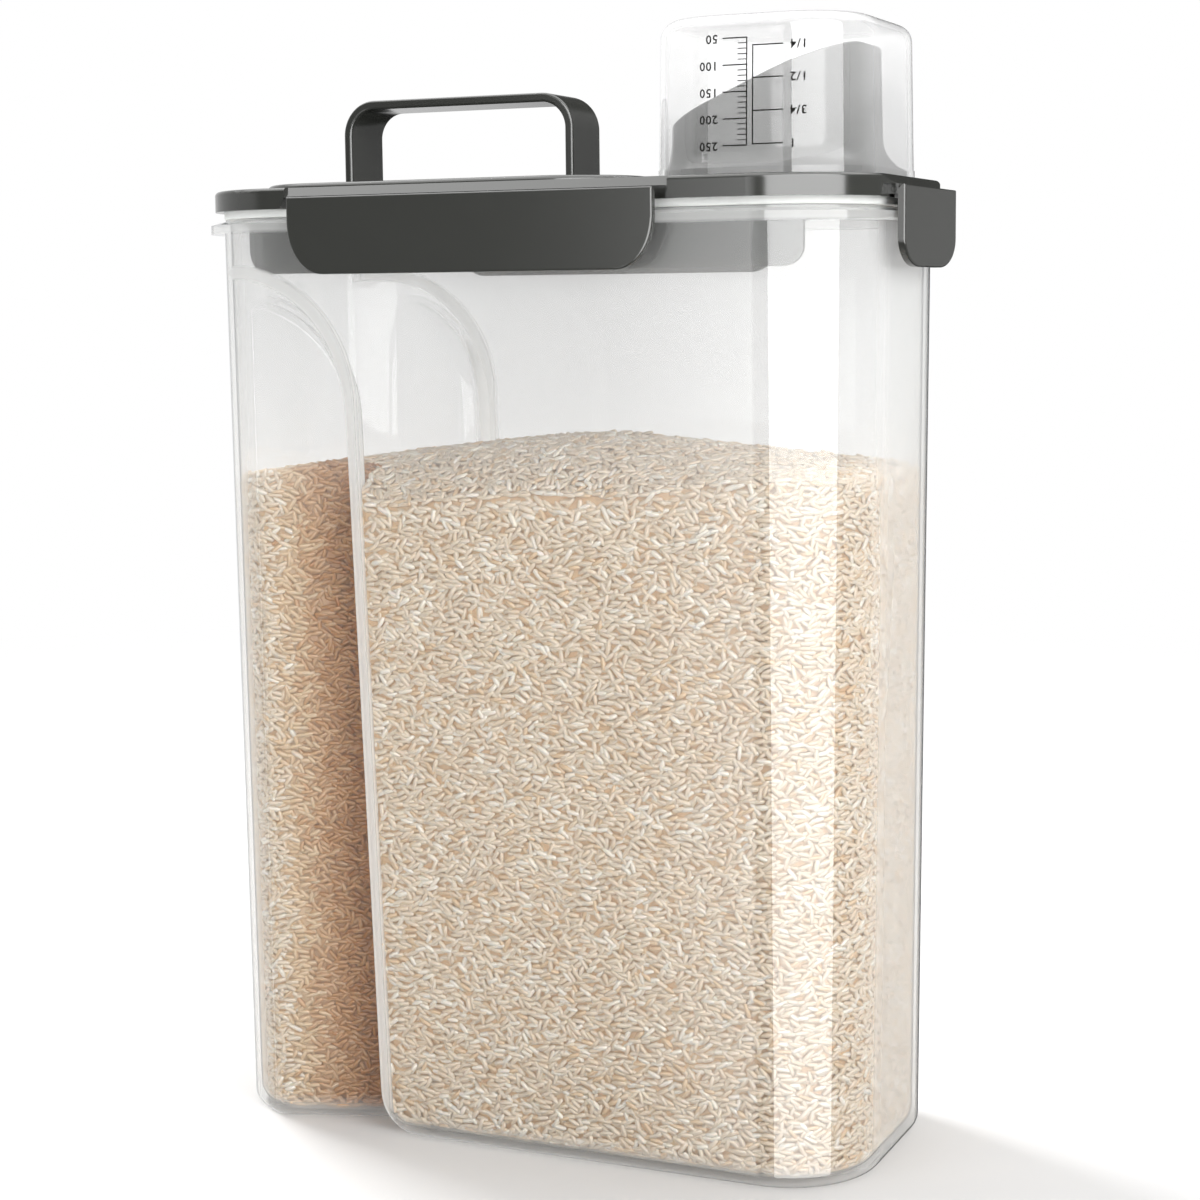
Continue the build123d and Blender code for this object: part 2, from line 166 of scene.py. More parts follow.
# See-through plastic: a milky veil that thickens where the wall is seen edge on, under a polished skin; near the
# outline the veil's colour is painted grey, a painted shade.
# Lamps and bounced light pass it, so what is inside stays bright.
def seeThroughPlastic(name, look):
    material, tree = newMaterial(name)
    facing = addNode(tree, "ShaderNodeLayerWeight", {"Blend": 0.5}).outputs["Facing"]
    veil = addNode(tree, "ShaderNodeMapRange", {"To Min": look["veil"], "To Max": look["edgeVeil"]},
                   {"Value": addMath(tree, "POWER", facing, look["edgePower"])})
    thick = containerVeil(tree, veil, look) if "rim" in look else veil.outputs["Result"]
    clear = addNode(tree, "ShaderNodeBsdfTransparent", {"Color": linearColor(look["tint"])})
    # the veil turns grey near the outline: painted shade where the wall is seen edge on
    body = mixColors(tree, addRamp(tree, facing, look["edgeLine"]), look["milk"], look["paintedEdgeShade"])
    front = addNode(tree, "ShaderNodeBsdfDiffuse", links={"Color": body})
    behind = addNode(tree, "ShaderNodeBsdfTranslucent", links={"Color": body})
    milk = mixShaders(tree, 0.5, front.outputs["BSDF"], behind.outputs["BSDF"])
    wall = mixShaders(tree, thick, clear.outputs["BSDF"], milk)
    gloss = addNode(tree, "ShaderNodeBsdfGlossy", {"Color": (1, 1, 1, 1), "Roughness": look["roughness"]})
    shine = addNode(tree, "ShaderNodeFresnel", {"IOR": look["ior"]}).outputs["Fac"]
    inner = addNode(tree, "ShaderNodeNewGeometry").outputs["Backfacing"]
    outside = addMath(tree, "MULTIPLY", shine, addMath(tree, "SUBTRACT", 1.0, inner))
    skin = mixShaders(tree, outside, wall, gloss.outputs["BSDF"])
    path = addNode(tree, "ShaderNodeLightPath").outputs
    passes = addMath(tree, "MAXIMUM", path["Is Shadow Ray"], path["Is Diffuse Ray"])
    through = addNode(tree, "ShaderNodeBsdfTransparent", {"Color": linearColor(look["lampTint"])})
    mixed = mixShaders(tree, passes, skin, through.outputs["BSDF"])
    addNode(tree, "ShaderNodeOutputMaterial", links={"Surface": mixed})
    return material


# Clear moulded styrene, faintly hazy: whiter where it is thick, with a grey line of painted shade at the outline
def clearStyrene():
    return seeThroughPlastic("clearMouldedStyrene", {
        "tint": "fcfcfc", "lampTint": "fafafa", "ior": 1.45, "roughness": 0.03,
        "milk": "eeefee", "paintedEdgeShade": "85888b", "edgeLine": (0.75, 0.9),
        "veil": 0.165, "edgeVeil": 0.85, "edgePower": 3.0,
        "haze": (215 * mm, 262 * mm), "lowVeil": 0.07,
        "rim": (327 * mm, 329 * mm), "rimVeil": 0.5,
        "foot": (2 * mm, 12 * mm), "footVeil": 0.35,
        "gripLean": 0.0288, "gripReach": 100 * mm, "gripSpring": 268 * mm, "gripOuter": (44 * mm, 48 * mm),
        "gripBandFrom": (43 * mm, 44.5 * mm), "gripBandTo": (47.5 * mm, 49.5 * mm), "gripVeil": 0.92})


# Lightly frosted polypropylene: what is behind it shows through as soft grey, with a pale grey line of painted shade at
# its outline
def frostedPolypropylene():
    return seeThroughPlastic("frostedPolypropylene", {
        "tint": "ffffff", "lampTint": "fdfdfd", "ior": 1.45, "roughness": 0.06,
        "milk": "fdfdfd", "paintedEdgeShade": "c4c6c6", "edgeLine": (0.86, 0.97),
        "veil": 0.17, "edgeVeil": 0.45, "edgePower": 3.0})


# Cast silicone: matt, pale and a little milky
def whiteSilicone():
    look = {"tone": "e4e6e4", "dust": "dadcd9", "dustMm": 4.0, "roughness": 0.55, "ior": 1.41}
    material, tree = newMaterial("castWhiteSilicone")
    place = addNode(tree, "ShaderNodeTexCoord").outputs["Object"]
    tone = mixColors(tree, addNoise(tree, place, look["dustMm"]), look["tone"], look["dust"])
    skin = addNode(tree, "ShaderNodeBsdfPrincipled", {"Roughness": look["roughness"], "IOR": look["ior"]},
                   {"Base Color": tone})
    addNode(tree, "ShaderNodeOutputMaterial", links={"Surface": skin.outputs["BSDF"]})
    return material


# A finish of one even colour, with its values on the shader's own sockets
def plainFinish(name, tone, values):
    material, tree = newMaterial(name)
    skin = addNode(tree, "ShaderNodeBsdfPrincipled", {"Base Color": linearColor(tone), **values})
    addNode(tree, "ShaderNodeOutputMaterial", links={"Surface": skin.outputs["BSDF"]})
    return material


# Black screen-printing ink: matt and flat
def printedInk():
    return plainFinish("blackScreenPrintInk", "1d1c1b", {"Roughness": 0.8, "Specular IOR Level": 0.0})


# Polished raw rice: hard, waxy grains that let a little light in, each lot of one of a few creams, or of a brown that
# is painted shade
def polishedRice(name, tone, roughness):
    return plainFinish(name, tone, {
        "Roughness": roughness, "IOR": 1.5, "Subsurface Weight": 0.4,
        "Subsurface Radius": (1.0, 0.75, 0.5), "Subsurface Scale": 0.7 * mm})


greyPlastic = satinGreyPlastic()
for nodeName in ("lid", "handle", "front_latch", "rear_latch", "end_latch"):
    dress(nodeName, greyPlastic)
dress("container", clearStyrene())
dress("measuring_cup", frostedPolypropylene())
dress("lid_gasket", whiteSilicone())
print("materials on the CAD pieces")


# Rice: one layer of grains along the walls and on the heap, and a core behind them

riceFill = {
    "crestZ": 254 * mm, "crestX": 12 * mm, "endDrop": 13.5 * mm, "endCurve": 1.3, "halfLength": 120 * mm,
    "sideDrop": 22 * mm, "sideCurve": 3, "halfDepth": 57 * mm,
    "bayLeft": (-75 * mm, -52 * mm), "bayRight": (20 * mm, 110 * mm), "bayFade": 0.9,
    "axisX": 18 * mm, "eyes": (-62 * mm, -20 * mm, 18 * mm, 80 * mm), "eyeLow": 9 * mm, "sightSlack": 0.2 * mm,
    "apart": 1.6 * mm, "topApart": 1.6 * mm, "wallGap": 0.25 * mm, "heapSlack": 0.3 * mm,
    "wallSpread": math.radians(36), "topSpread": 1.0, "topSink": 1.2 * mm, "edgeRoom": 1.3 * mm,
    "topX": (-124 * mm, 124 * mm, 63), "topY": (-54 * mm, 54 * mm, 28),
    "perPiece": 6000, "seed": 11,
    # the first three lots are rice tones that differ at random; the four brown ones are painted shade beside the grip
    # step
    "tones": (("ricePale", "dfd6c8", 0.4), ("riceCream", "d2c2ad", 0.5), ("riceWarm", "cebba3", 0.5),
              ("ricePaintedShadeOne", "c9ae8c", 0.5), ("ricePaintedShadeTwo", "b9936a", 0.5), ("ricePaintedShadeThree", "aa7b48", 0.5),
              ("ricePaintedShadeFour", "9a652a", 0.5)),
    "shares": (0.14, 0.56, 0.3), "shadeSteps": 4, "shadeBlur": 0.35,
    "shadeFrom": -100 * mm, "shadeTo": -69 * mm, "shadePast": 8 * mm, "shadeBeyond": 34 * mm,
}
riceGrain = {
    "length": 5.2 * mm, "width": 1.95 * mm, "thick": 1.6 * mm, "lengthSpread": 0.09, "sizeSpread": 0.06,
    "rings": (-0.38, 0.0, 0.38), "sides": 5, "bluntness": 4, "taper": 0.12,
    "tilt": math.radians(5), "depthSpread": 0.9 * mm, "levelBelow": 0.2,
    "cornerRoom": (0.5 * mm, 3.6 * mm), "cornerSpread": 0.15, "tipReach": 0.54, "backOff": 0.6 * mm, "backTries": 4,
}
riceCoreForm = {
    "axisX": -57 * mm, "floorZ": 6 * mm, "rows": 44, "around": 176, "startRadius": 30 * mm, "settle": 3,
    "behindWall": 1.9 * mm, "underHeap": 0.6 * mm, "capShrink": (0.86, 0.8, 0.72, 0.62, 0.5, 0.3),
    # the core's tone is darker than the grains: painted shade for the gaps between them
    "midZ": 100 * mm, "tone": "c9a983", "roughness": 0.6,
}


def easeStep(value, low, high):
    t = np.clip((value - low) / (high - low), 0, 1)
    return t * t * (3 - 2 * t)


# The heap: highest near the middle, level between the grip recesses, slumping to the long walls beside them
def riceTop(x, y):
    r = riceFill
    side = np.clip(np.abs(y) / r["halfDepth"], 0, 1) ** r["sideCurve"]
    bay = easeStep(x, *r["bayLeft"]) * (1 - r["bayFade"] * easeStep(x, *r["bayRight"]))
    ends = np.abs((x - r["crestX"]) / r["halfLength"]) ** r["endCurve"]
    return r["crestZ"] - r["endDrop"] * ends - r["sideDrop"] * side * bay


# How deep a place lies in the shade beside the step of a grip recess, 0 to 1: the rice there is painted browner by it,
# a painted shade
def stepShade(points):
    r = riceFill
    near = np.clip((points[:, 0] - r["shadeFrom"]) / (r["shadeTo"] - r["shadeFrom"]), 0, 1)
    beside = (np.abs(points[:, 1]) > r["shadeBeyond"]) & (points[:, 0] < r["shadeTo"] + r["shadePast"])
    return near * beside


# The container's triangles, and which of them face its inside: those seen from a few eyes along its middle
def cavityTriangles():
    mesh = nodes["container"].data
    mesh.calc_loop_triangles()
    points = np.empty(len(mesh.vertices) * 3, np.float32)
    mesh.vertices.foreach_get("co", points)
    points = points.reshape(-1, 3).astype(float)
    corners = np.empty(len(mesh.loop_triangles) * 3, np.int32)
    mesh.loop_triangles.foreach_get("vertices", corners)
    corners = corners.reshape(-1, 3)
    wall = BVHTree.FromPolygons(points.tolist(), corners.tolist())
    a, b, c = (points[corners[:, i]] for i in range(3))
    normal = np.cross(b - a, c - a)
    area = np.linalg.norm(normal, axis=1) / 2
    normal /= np.maximum(2 * area, 1e-15)[:, None]
    center = (a + b + c) / 3
    inside = np.zeros(len(corners), bool)
    for i in range(len(corners)):
        if min(a[i, 2], b[i, 2], c[i, 2]) < riceFill["crestZ"] and area[i] > 1e-12:
            for eyeX in riceFill["eyes"]:
                eye = Vector((eyeX, 0, max(center[i, 2], riceFill["eyeLow"])))
                sight = Vector(center[i]) - eye
                hit = wall.ray_cast(eye, sight.normalized())[3]
                inside[i] |= hit is not None and abs(hit - sight.length) < riceFill["sightSlack"]
    return wall, a[inside], b[inside], c[inside], normal[inside], area[inside]


# The heap's own triangles
def topTriangles():
    r = riceFill
    xs, ys = np.meshgrid(np.linspace(*r["topX"]), np.linspace(*r["topY"]), indexing="ij")
    grid = np.stack([xs, ys, riceTop(xs, ys)], 2)
    a = np.concatenate([grid[:-1, :-1].reshape(-1, 3), grid[:-1, :-1].reshape(-1, 3)])
    b = np.concatenate([grid[1:, :-1].reshape(-1, 3), grid[1:, 1:].reshape(-1, 3)])
    c = np.concatenate([grid[1:, 1:].reshape(-1, 3), grid[:-1, 1:].reshape(-1, 3)])
    normal = np.cross(b - a, c - a)
    area = np.linalg.norm(normal, axis=1) / 2
    return a, b, c, normal / (2 * area)[:, None], area


# Whether a point lies in the cavity with this much room to the wall
def insideBy(wall, point, room):
    eye = Vector((riceFill["axisX"], 0, point.z))
    sight = point - eye
    hit = wall.ray_cast(eye, sight.normalized())[3]
    return hit is not None and hit > sight.length and wall.find_nearest(point)[3] >= room


# Random places on the triangles, no two nearer than a set distance. Three tries a place fill them well enough.
def scatter(a, b, c, normal, area, apart, rng, tries=9):
    count = int(area.sum() / apart ** 2 * tries / 3)
    pick = rng.choice(len(area), count, p=area / area.sum())
    u, v = rng.random((2, count))
    flip = u + v > 1
    u[flip], v[flip] = 1 - u[flip], 1 - v[flip]
    spots = a[pick] + (b[pick] - a[pick]) * u[:, None] + (c[pick] - a[pick]) * v[:, None]
    taken, kept = {}, []
    cells = np.floor(spots / apart).astype(int)
    around = [(i, j, k) for i in (-1, 0, 1) for j in (-1, 0, 1) for k in (-1, 0, 1)]
    for n in range(count):
        x, y, z = cells[n]
        near = (m for i, j, k in around for m in taken.get((x + i, y + j, z + k), ()))
        if all(((spots[n] - spots[m]) ** 2).sum() > apart ** 2 for m in near):
            taken.setdefault((x, y, z), []).append(n)
            kept.append(n)
    return spots[kept], normal[pick[kept]]


# One grain, long axis X, with blunt ends: its points on rings, and its faces
def grainShape():
    g = riceGrain
    points, faces = [(-0.5, 0.0, 0.0)], []
    for along in g["rings"]:
        radius = 0.5 * (1 - (2 * along) ** g["bluntness"]) ** 0.5 * (1 - g["taper"] * along)
        for k in range(g["sides"]):
            turn = 2 * math.pi * k / g["sides"]
            points.append((along, radius * math.cos(turn), radius * math.sin(turn)))
    points.append((0.5, 0.0, 0.0))
    last, sides = len(points) - 1, g["sides"]
    for k in range(sides):
        after = (k + 1) % sides
        faces.append((0, 1 + after, 1 + k))
        for i in range(len(g["rings"]) - 1):
            low, high = 1 + i * sides, 1 + (i + 1) * sides
            faces.append((low + k, low + after, high + after, high + k))
        end = 1 + (len(g["rings"]) - 1) * sides
        faces.append((end + k, end + after, last))
    return np.array(points), faces


# Grains lie on the surface with a small tilt, along a wall that is near, and step back where they would cut it
def grainsOn(spots, normal, wall, rng, spread):
    g = riceGrain
    across = np.cross(np.array([0, 0, 1.0]), normal)
    level = np.linalg.norm(across, axis=1) < g["levelBelow"]
    across[level] = np.cross(np.array([0, 1.0, 0]), normal[level])
    turn = np.where(level, rng.random(len(spots)) * math.pi, rng.normal(0, spread, len(spots)))
    for n in range(len(spots)):
        nearest, facing, face, room = wall.find_nearest(Vector(spots[n]))
        if g["cornerRoom"][0] < room < g["cornerRoom"][1]:
            across[n] = np.cross(normal[n], np.array(facing))
            turn[n] = rng.normal(0, g["cornerSpread"])
    across /= np.linalg.norm(across, axis=1)[:, None]
    upward = np.cross(normal, across)
    tilt = rng.normal(0, g["tilt"], len(spots))
    along = across * np.cos(turn)[:, None] + upward * np.sin(turn)[:, None]
    along = along * np.cos(tilt)[:, None] + normal * np.sin(tilt)[:, None]
    beside = np.cross(normal, along)
    beside /= np.linalg.norm(beside, axis=1)[:, None]
    facing = np.cross(along, beside)
    length = g["length"] * rng.normal(1, g["lengthSpread"], len(spots))
    depth = g["thick"] / 2 + riceFill["wallGap"] + length / 2 * np.abs(np.sin(tilt))
    depth = depth + rng.random(len(spots)) ** 2 * g["depthSpread"]
    centers = spots + normal * depth[:, None]
    keep = np.ones(len(spots), bool)
    for n in range(len(spots)):
        for step in range(g["backTries"]):
            tips = [wall.ray_cast(Vector(centers[n]), Vector(along[n] * s), length[n] * g["tipReach"])[0]
                    for s in (-1, 1)]
            if tips == [None, None]:
                break
            centers[n] += normal[n] * g["backOff"]
        else:
            keep[n] = False
    return centers[keep], along[keep], beside[keep], facing[keep], length[keep]


# Many grains as one piece, each in the material of its lot; beside the grip step the lots turn browner, a painted shade
def grainMesh(name, places, rng, materials):
    r, g = riceFill, riceGrain
    shape, faces = grainShape()
    centers, along, beside, facing, length = places
    count = len(centers)
    wide = g["width"] * rng.normal(1, g["sizeSpread"], count)
    thick = g["thick"] * rng.normal(1, g["sizeSpread"], count)
    points = (centers[:, None, :]
              + along[:, None, :] * (shape[None, :, 0:1] * length[:, None, None])
              + beside[:, None, :] * (shape[None, :, 1:2] * wide[:, None, None])
              + facing[:, None, :] * (shape[None, :, 2:3] * thick[:, None, None]))
    listed = [[n * len(shape) + i for i in face] for n in range(count) for face in faces]
    mesh = bpy.data.meshes.new(name)
    mesh.from_pydata(points.reshape(-1, 3).tolist(), [], listed)
    bright = rng.choice(len(r["shares"]), count, p=r["shares"])
    shade = np.rint(stepShade(centers) * r["shadeSteps"] + rng.normal(0, r["shadeBlur"], count)).astype(int)
    shade = np.minimum(shade, r["shadeSteps"]) + len(r["shares"]) - 1
    lot = np.repeat(np.where(shade >= len(r["shares"]), shade, bright), len(faces)).astype(np.int32)
    for material in materials:
        mesh.materials.append(material)
    mesh.polygons.foreach_set("material_index", lot)
    mesh.polygons.foreach_set("use_smooth", np.ones(len(mesh.polygons), bool))
    mesh.update()
    piece = bpy.data.objects.new(name, mesh)
    bpy.context.scene.collection.objects.link(piece)
    return piece


# Selects the open edge at the top or at the floor of the piece in edit mode
def selectOpenEdge(piece, top):
    bpy.ops.mesh.select_all(action="DESELECT")
    bpy.ops.mesh.select_non_manifold(extend=False, use_wire=False, use_boundary=True,
                                     use_multi_face=False, use_non_contiguous=False, use_verts=False)
    bpy.ops.object.mode_set(mode="OBJECT")
    points = piece.data.vertices
    for edge in piece.data.edges:
        if edge.select:
            edge.select = all((points[v].co.z > riceCoreForm["midZ"]) == top for v in edge.vertices)
    for vertex in points:
        vertex.select = False
    for edge in piece.data.edges:
        if edge.select:
            for v in edge.vertices:
                points[v].select = True
    bpy.ops.object.mode_set(mode="EDIT")


# The mass behind the outer grains: a cylinder pushed out to just inside the wall and heaped at the top. Its colour is
# painted shade: darker than the grains for the gaps between them, and stepped browner beside the grip step.
def riceCore(wall, paintedShades):
    f = riceCoreForm
    deselectAll()
    bpy.ops.mesh.primitive_cylinder_add(vertices=f["around"], radius=f["startRadius"], depth=1.0,
                                        end_fill_type="NOTHING", location=(0, 0, 0))
    core = bpy.context.object
    core.name = core.data.name = "rice_core"
    bpy.ops.object.mode_set(mode="EDIT")
    for cut in range(1, f["rows"]):
        bpy.ops.mesh.select_all(action="SELECT")
        bpy.ops.mesh.bisect(plane_co=(0, 0, -0.5 + cut / f["rows"]), plane_no=(0, 0, 1))
    bpy.ops.mesh.select_all(action="DESELECT")
    bpy.ops.object.mode_set(mode="OBJECT")
    for vertex in core.data.vertices:
        share = vertex.co.z + 0.5
        outward = Vector((vertex.co.x, vertex.co.y, 0)).normalized()
        z = f["floorZ"] + share * (riceFill["crestZ"] - riceFill["sideDrop"] - f["floorZ"])
        for tries in range(f["settle"]):  # the top row follows the heap at its own place
            hit, facing = wall.ray_cast(Vector((f["axisX"], 0, z)), outward)[:2]
            if facing.dot(outward) > 0:
                facing = -facing
            place = hit + facing * f["behindWall"]
            z = f["floorZ"] + share * (float(riceTop(place.x, place.y)) - f["underHeap"] - f["floorZ"])
        vertex.co = (place.x, place.y, z)
    capFrom = len(core.data.vertices)
    activate(core)
    bpy.ops.object.mode_set(mode="EDIT")
    for top in (False, True):  # close the floor flat and the top with rings that climb the heap
        selectOpenEdge(core, top)
        if top:
            for shrink in f["capShrink"]:
                bpy.ops.mesh.extrude_edges_move()
                bpy.ops.transform.resize(value=(shrink, shrink, 1), center_override=(f["axisX"], 0, 0))
        bpy.ops.mesh.edge_face_add()
    bpy.ops.mesh.select_all(action="SELECT")
    bpy.ops.mesh.normals_make_consistent(inside=False)
    bpy.ops.object.mode_set(mode="OBJECT")
    for vertex in core.data.vertices[capFrom:]:
        vertex.co.z = float(riceTop(vertex.co.x, vertex.co.y)) - f["underHeap"]
    for material in [polishedRice("riceShadow", f["tone"], f["roughness"])] + paintedShades:
        core.data.materials.append(material)
    for face in core.data.polygons:
        face.material_index = round(float(stepShade(np.array(face.center)[None])[0]) * riceFill["shadeSteps"])
    activate(core)
    bpy.ops.object.shade_smooth()
    return core


def fillWithRice():
    r = riceFill
    rng = np.random.default_rng(r["seed"])
    wall, *triangles = cavityTriangles()
    spots, normal = scatter(*triangles, r["apart"], rng)
    below = spots[:, 2] < riceTop(spots[:, 0], spots[:, 1]) + r["heapSlack"]
    side = grainsOn(spots[below], normal[below], wall, rng, r["wallSpread"])
    spots, normal = scatter(*topTriangles(), r["topApart"], rng)
    clear = np.array([insideBy(wall, Vector(p), r["edgeRoom"]) for p in spots])
    over = grainsOn(spots[clear] - normal[clear] * r["topSink"], normal[clear], wall, rng, r["topSpread"])
    places = [np.concatenate(pair) for pair in zip(side, over)]
    order = np.argsort(np.arctan2(places[0][:, 1], places[0][:, 0] - r["axisX"]), kind="stable")
    materials = [polishedRice(name, tone, roughness) for name, tone, roughness in r["tones"]]
    pieces = [riceCore(wall, materials[len(r["shares"]):])]
    parts = math.ceil(len(order) / r["perPiece"])
    for n, lot in enumerate(np.array_split(order, parts)):
        pieces.append(grainMesh("rice_grains_%d" % (n + 1), [p[lot] for p in places], rng, materials))
    for piece in pieces:
        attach(piece, "container")
    print("rice:", len(order), "grains in", parts, "pieces")


fillWithRice()


# Printed scale on the measuring cup

cupScale = {
    "firstZ": 388.2 * mm, "step": 8.73 * mm, "lineX": 84.0 * mm, "majorTo": 75.5 * mm, "minorTo": 80.8 * mm,
    "labelRight": 73.8 * mm, "numbers": ("50", "100", "150", "200", "250"), "minorSteps": 5,
    "cupX": 86.1 * mm, "cupTo": 96.7 * mm, "cupZ": (385.6 * mm, 375.1 * mm, 364.4 * mm, 353.6 * mm),
    "cupNumbers": ("1/4", "1/2", "3/4", "1"), "cupLabelLeft": 99.0 * mm,
    "stroke": 0.42 * mm, "fine": 0.3 * mm, "barCuts": 3, "proud": 0.06 * mm,
    "textHigh": 4.0 * mm, "textBold": 0.06 * mm, "textSpace": 1.12, "textCurve": 3,
    "cupCenter": 83.0 * mm, "cupHalf": 39.0 * mm, "cupFace": -43.5 * mm, "cupCorner": 26.4 * mm, "taper": 1.0 / 53.0,
}


# Bends the flat print onto the cup's front, which leans back a little and rounds off at both ends
def wrapOnCup(piece):
    s = cupScale
    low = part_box("measuring_cup")[0].z
    for vertex in piece.data.vertices:
        x, z = vertex.co.x, vertex.co.z
        lean = s["taper"] * (z - low)
        bent = max(0.0, abs(x - s["cupCenter"]) - (s["cupHalf"] - s["cupCorner"]))
        radius = s["cupCorner"] - lean
        vertex.co.y = s["cupFace"] + lean + radius - math.sqrt(radius ** 2 - bent ** 2) - s["proud"] - vertex.co.y


def printBar(x0, x1, z0, z1):
    deselectAll()
    bpy.ops.mesh.primitive_plane_add(size=1, location=((x0 + x1) / 2, 0, (z0 + z1) / 2),
                                     rotation=(math.radians(90), 0, 0))
    bar = bpy.context.object
    bar.scale = (abs(x1 - x0), abs(z1 - z0), 1)
    bpy.ops.object.transform_apply(location=True, rotation=True, scale=True)
    bpy.ops.object.mode_set(mode="EDIT")
    bpy.ops.mesh.subdivide(number_cuts=cupScale["barCuts"])
    bpy.ops.object.mode_set(mode="OBJECT")
    return bar


# The cup stands on its mouth, so its numbers read upside down
def printNumber(text, x, z, align):
    s = cupScale
    deselectAll()
    bpy.ops.object.text_add(location=(0, 0, 0))
    label = bpy.context.object
    label.data.body = text
    label.data.size = s["textHigh"]
    label.data.offset = s["textBold"]
    label.data.space_character = s["textSpace"]
    label.data.resolution_u = s["textCurve"]
    label.data.align_x = align
    label.data.align_y = "CENTER"
    bpy.ops.object.convert(target="MESH")
    label = bpy.context.object
    label.matrix_world = (Matrix.Translation((x, 0, z)) @ Matrix.Rotation(math.pi, 4, "Y")
                          @ Matrix.Rotation(math.pi / 2, 4, "X"))
    bpy.ops.object.transform_apply(location=True, rotation=True, scale=True)
    return label


def printScale():
    s = cupScale
    made = []
    lastZ = s["firstZ"] - s["step"] * (len(s["numbers"]) - 1)
    half = s["stroke"] / 2
    made.append(printBar(s["lineX"] - half, s["lineX"] + half, lastZ - half, s["firstZ"] + half))
    for i in range(s["minorSteps"] * (len(s["numbers"]) - 1) + 1):
        z = s["firstZ"] - s["step"] * i / s["minorSteps"]
        major = i % s["minorSteps"] == 0
        reach, thick = (s["majorTo"], half) if major else (s["minorTo"], s["fine"] / 2)
        made.append(printBar(reach, s["lineX"], z - thick, z + thick))
        if major:
            made.append(printNumber(s["numbers"][i // s["minorSteps"]], s["labelRight"], z, "LEFT"))
    made.append(printBar(s["cupX"] - half, s["cupX"] + half, s["cupZ"][-1] - half, s["cupZ"][0] + half))
    for z, text in zip(s["cupZ"], s["cupNumbers"]):
        made.append(printBar(s["cupX"], s["cupTo"], z - half, z + half))
        made.append(printNumber(text, s["cupLabelLeft"], z, "RIGHT"))
    deselectAll()
    for bar in made:
        bar.select_set(True)
    bpy.context.view_layer.objects.active = made[0]
    bpy.ops.object.join()
    scale = bpy.context.object
    scale.name = scale.data.name = "cup_scale_print"
    wrapOnCup(scale)
    scale.data.materials.clear()
    scale.data.materials.append(printedInk())
    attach(scale, "measuring_cup")
    print("scale printed on the cup")


printScale()


# Floor, light and camera

studio = {
    "floorSize": 12.0, "floorTone": "cecece", "clear": (0.5, 1.4), "floorLift": 0.03,
    "fillBack": 1.35, "fillFront": 0.57, "fillSpan": (-0.4, 0.4),
    "shineFront": 0.2, "shineBack": 0.05, "backSpan": (-0.2, 0.2), "shineLeft": 0.9, "leftSpan": (-0.8, -0.6),
    "shineLeftBack": 0.9, "leftBackSpan": (-0.5, -0.3), "shineRightBack": 0.3, "rightBackSpan": (0.05, 0.25),
    "shineTop": 3.2, "topSpan": (0.55, 0.8),
    "wing": 3.0, "wingFrom": (-24.5, -19), "wingTo": (-15, -11), "wingLow": (-0.7, -0.5), "wingHigh": (0.35, 0.5),
    "aimZ": 0.2,
    "boxes": (
        {"name": "keyBox", "bearing": 65, "height": 0.9, "distance": 1.5, "wide": 0.9, "tall": 0.9, "watts": 19},
        {"name": "fillBox", "bearing": -30, "height": 0.7, "distance": 1.8, "wide": 1.2, "tall": 1.2, "watts": 10},
        {"name": "overheadBox", "bearing": -115, "height": 2.2, "distance": 0.9, "wide": 0.4, "tall": 0.4, "watts": 42},
        {"name": "cornerPanel", "bearing": 40, "height": 0.35, "distance": 0.825, "wide": 1.17, "tall": 1.6,
         "watts": 46, "onlyShine": True}),
}


# Paper that keeps the object's shadow near it and fades to white further off
def layFloor():
    deselectAll()
    bpy.ops.mesh.primitive_plane_add(size=studio["floorSize"], location=(0, 0, 0))
    floor = bpy.context.object
    floor.name = "studio_floor"
    floor.visible_glossy = False
    material, tree = newMaterial("whitePaperSweep")
    place = addNode(tree, "ShaderNodeTexCoord")
    away = addNode(tree, "ShaderNodeVectorMath", operation="LENGTH", links={"Vector": place.outputs["Object"]})
    path = addNode(tree, "ShaderNodeLightPath").outputs
    seen = addMath(tree, "MAXIMUM", path["Is Camera Ray"], path["Is Transmission Ray"])
    share = addMath(tree, "MULTIPLY", addRamp(tree, away.outputs["Value"], studio["clear"]), seen)
    paper = addNode(tree, "ShaderNodeBsdfDiffuse", {"Color": linearColor(studio["floorTone"])})
    glow = addNode(tree, "ShaderNodeEmission", {"Color": (1, 1, 1, 1)},
                   {"Strength": addMath(tree, "MULTIPLY", seen, studio["floorLift"])})
    near = addNode(tree, "ShaderNodeAddShader", links={0: paper.outputs["BSDF"], 1: glow.outputs["Emission"]})
    white = addNode(tree, "ShaderNodeEmission", {"Color": (1, 1, 1, 1), "Strength": 1.0})
    mixed = mixShaders(tree, share, near.outputs["Shader"], white.outputs["Emission"])
    addNode(tree, "ShaderNodeOutputMaterial", links={"Surface": mixed})
    floor.data.materials.append(material)


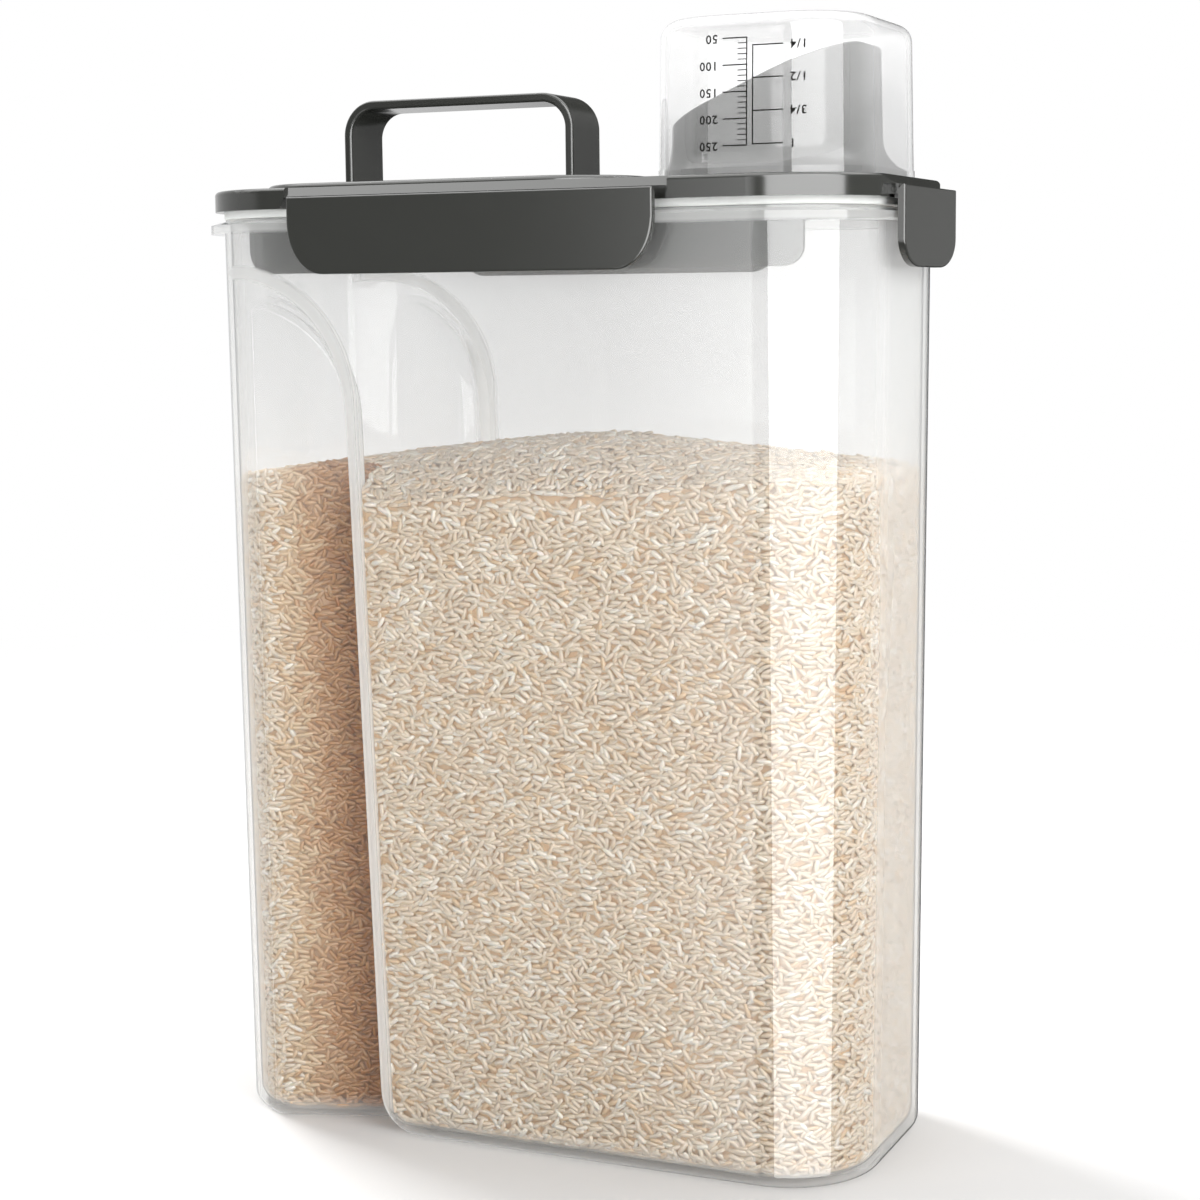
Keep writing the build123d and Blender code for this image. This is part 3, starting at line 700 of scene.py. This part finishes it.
# White to the eye. As light it is brighter behind the object; polished skins mirror a soft wing at the front left,
# a glow overhead, and little else.
def hangSky():
    s = studio
    world = bpy.data.worlds.new("softStudio")
    bpy.context.scene.world = world
    world.use_nodes = True
    tree = world.node_tree
    tree.nodes.clear()
    place = addNode(tree, "ShaderNodeTexCoord")
    split = addNode(tree, "ShaderNodeSeparateXYZ", links={"Vector": place.outputs["Generated"]})
    right, back, up = (split.outputs[axis] for axis in "XYZ")
    bearing = addMath(tree, "ARCTAN2", right, addMath(tree, "MULTIPLY", back, -1.0))
    wingFrom, wingTo = ([math.radians(angle) for angle in s[key]] for key in ("wingFrom", "wingTo"))
    across = addMath(tree, "MULTIPLY", addRamp(tree, bearing, wingFrom, 0.0, s["wing"]),
                     addRamp(tree, bearing, wingTo, 1.0, 0.0))
    tall = addMath(tree, "MULTIPLY", addRamp(tree, up, s["wingLow"]), addRamp(tree, up, s["wingHigh"], 1.0, 0.0))
    behind = addMath(tree, "ADD", addRamp(tree, right, s["leftBackSpan"], s["shineLeftBack"], s["shineBack"]),
                     addRamp(tree, right, s["rightBackSpan"], 0.0, s["shineRightBack"]))
    around = addNode(tree, "ShaderNodeMix", {"A": s["shineFront"]},
                     {"Factor": addRamp(tree, back, s["backSpan"]), "B": behind}).outputs["Result"]
    around = addMath(tree, "MAXIMUM", around, addRamp(tree, right, s["leftSpan"], s["shineLeft"], 0.0))
    shine = addMath(tree, "ADD", around, addMath(tree, "MULTIPLY", across, tall))
    shine = addMath(tree, "ADD", shine, addRamp(tree, up, s["topSpan"], 0.0, s["shineTop"]))
    path = addNode(tree, "ShaderNodeLightPath").outputs
    level = addNode(tree, "ShaderNodeMixRGB", links={
        "Fac": path["Is Glossy Ray"], "Color1": addRamp(tree, back, s["fillSpan"], s["fillFront"], s["fillBack"]),
        "Color2": shine})
    soft = addNode(tree, "ShaderNodeBackground", {"Strength": 1.0}, {"Color": level.outputs["Color"]})
    white = addNode(tree, "ShaderNodeBackground", {"Color": (1, 1, 1, 1), "Strength": 1.0})
    seen = addMath(tree, "MAXIMUM", path["Is Camera Ray"], path["Is Transmission Ray"])
    mixed = mixShaders(tree, seen, soft.outputs["Background"], white.outputs["Background"])
    addNode(tree, "ShaderNodeOutputWorld", links={"Surface": mixed})


# A soft box placed by its bearing from the object's front, its height and its distance
def softBox(name, bearing, height, distance, wide, tall, watts, onlyShine=False):
    turn = math.radians(bearing)
    light = bpy.data.lights.new(name, "AREA")
    light.shape = "RECTANGLE"
    light.size, light.size_y = wide, tall
    light.energy = watts
    lamp = bpy.data.objects.new(name, light)
    bpy.context.scene.collection.objects.link(lamp)
    lamp.location = (distance * math.sin(turn), -distance * math.cos(turn), height)
    lamp.rotation_euler = (Vector((0, 0, studio["aimZ"])) - lamp.location).to_track_quat("-Z", "Y").to_euler()
    lamp.visible_camera = lamp.visible_transmission = False
    lamp.visible_diffuse = not onlyShine
    lamp.visible_glossy = onlyShine


def setCamera():
    shot = {"place": (0.36895, -0.80380, 0.30332), "yaw": 24.06, "pitch": 7.09, "roll": -0.59,
            "lens": 72.58, "sensor": 36.0}
    data = bpy.data.cameras.new("photoCamera")
    data.sensor_width = shot["sensor"]
    data.lens = shot["lens"]
    camera = bpy.data.objects.new("photoCamera", data)
    bpy.context.scene.collection.objects.link(camera)
    camera.matrix_world = (Matrix.Translation(shot["place"])
                           @ Matrix.Rotation(math.radians(shot["yaw"]), 4, "Z")
                           @ Matrix.Rotation(math.radians(90 - shot["pitch"]), 4, "X")
                           @ Matrix.Rotation(math.radians(shot["roll"]), 4, "Z"))
    bpy.context.scene.camera = camera


layFloor()
hangSky()
for box in studio["boxes"]:
    softBox(**box)
setCamera()
bpy.context.scene.view_settings.view_transform = "Standard"
print("floor, light and camera set")
